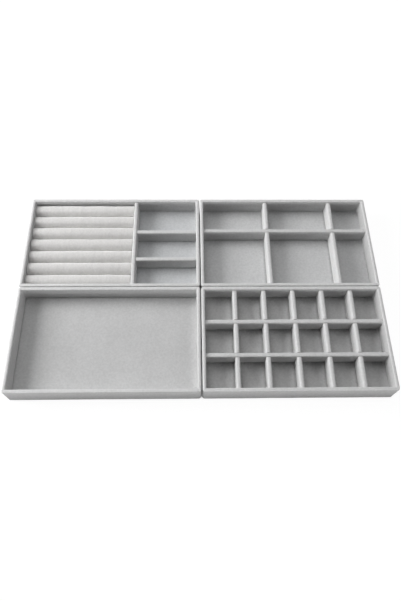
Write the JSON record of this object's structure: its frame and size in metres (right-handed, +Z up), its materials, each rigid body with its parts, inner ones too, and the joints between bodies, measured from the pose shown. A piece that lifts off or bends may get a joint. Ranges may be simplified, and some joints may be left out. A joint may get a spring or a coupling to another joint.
{
  "type": "jewelry tray",
  "caption": "Flat rectangular velvet-covered jewelry trays laid side by side: a ring tray with soft rolls, an open tray and trays divided into compartments.",
  "frame": {"origin": "on the table under the middle of the set", "axes": "+X to the right along the trays' long sides, +Y to the back, +Z up out of the trays"},
  "size_m": [0.4612, 0.2766, 0.03],
  "materials": {
    "velvet": "matte",
    "floor_velvet": "matte",
    "roll_velvet": "matte",
    "board": "matte",
    "underside_card": "matte",
    "foam": "matte"
  },
  "bodies": {
    "open_tray": {"open_tray_back_wall": "board", "open_tray_base_board": "board", "open_tray_floor_pad": "floor_velvet", "open_tray_front_wall": "board", "open_tray_left_wall": "board", "open_tray_right_wall": "board", "open_tray_underside_card": "underside_card", "open_tray_velvet_wrap": "velvet"},
    "ring_tray": {"ring_tray_back_wall": "board", "ring_tray_base_board": "board", "ring_tray_crosswise_divider_velvet_1": "velvet", "ring_tray_divider_boards": "board", "ring_tray_floor_pad": "floor_velvet", "ring_tray_front_wall": "board", "ring_tray_left_wall": "board", "ring_tray_lengthwise_divider_velvet_1": "velvet", "ring_tray_lengthwise_divider_velvet_2": "velvet", "ring_tray_right_wall": "board", "ring_tray_roll_foams": "foam", "ring_tray_roll_velvet_1": "roll_velvet", "ring_tray_roll_velvet_2": "roll_velvet", "ring_tray_roll_velvet_3": "roll_velvet", "ring_tray_roll_velvet_4": "roll_velvet", "ring_tray_roll_velvet_5": "roll_velvet", "ring_tray_roll_velvet_6": "roll_velvet", "ring_tray_roll_velvet_7": "roll_velvet", "ring_tray_underside_card": "underside_card", "ring_tray_velvet_wrap": "velvet"},
    "six_tray": {"six_tray_back_wall": "board", "six_tray_base_board": "board", "six_tray_crosswise_divider_velvet_1": "velvet", "six_tray_crosswise_divider_velvet_2": "velvet", "six_tray_divider_boards": "board", "six_tray_floor_pad": "floor_velvet", "six_tray_front_wall": "board", "six_tray_left_wall": "board", "six_tray_lengthwise_divider_velvet_1": "velvet", "six_tray_right_wall": "board", "six_tray_underside_card": "underside_card", "six_tray_velvet_wrap": "velvet"},
    "grid_tray": {"grid_tray_back_wall": "board", "grid_tray_base_board": "board", "grid_tray_crosswise_divider_velvet_1": "velvet", "grid_tray_crosswise_divider_velvet_2": "velvet", "grid_tray_crosswise_divider_velvet_3": "velvet", "grid_tray_crosswise_divider_velvet_4": "velvet", "grid_tray_crosswise_divider_velvet_5": "velvet", "grid_tray_divider_boards": "board", "grid_tray_floor_pad": "floor_velvet", "grid_tray_front_wall": "board", "grid_tray_left_wall": "board", "grid_tray_lengthwise_divider_velvet_1": "velvet", "grid_tray_lengthwise_divider_velvet_2": "velvet", "grid_tray_right_wall": "board", "grid_tray_underside_card": "underside_card", "grid_tray_velvet_wrap": "velvet"}
  },
  "joints": [
    {"name": "ring_tray_lift", "type": "slide", "parent": "open_tray", "child": "ring_tray", "axis": [0, 0, 1], "range_m": [0, 0.09]},
    {"name": "six_tray_lift", "type": "slide", "parent": "open_tray", "child": "six_tray", "axis": [0, 0, 1], "range_m": [0, 0.09]},
    {"name": "grid_tray_lift", "type": "slide", "parent": "open_tray", "child": "grid_tray", "axis": [0, 0, 1], "range_m": [0, 0.09]}
  ]
}
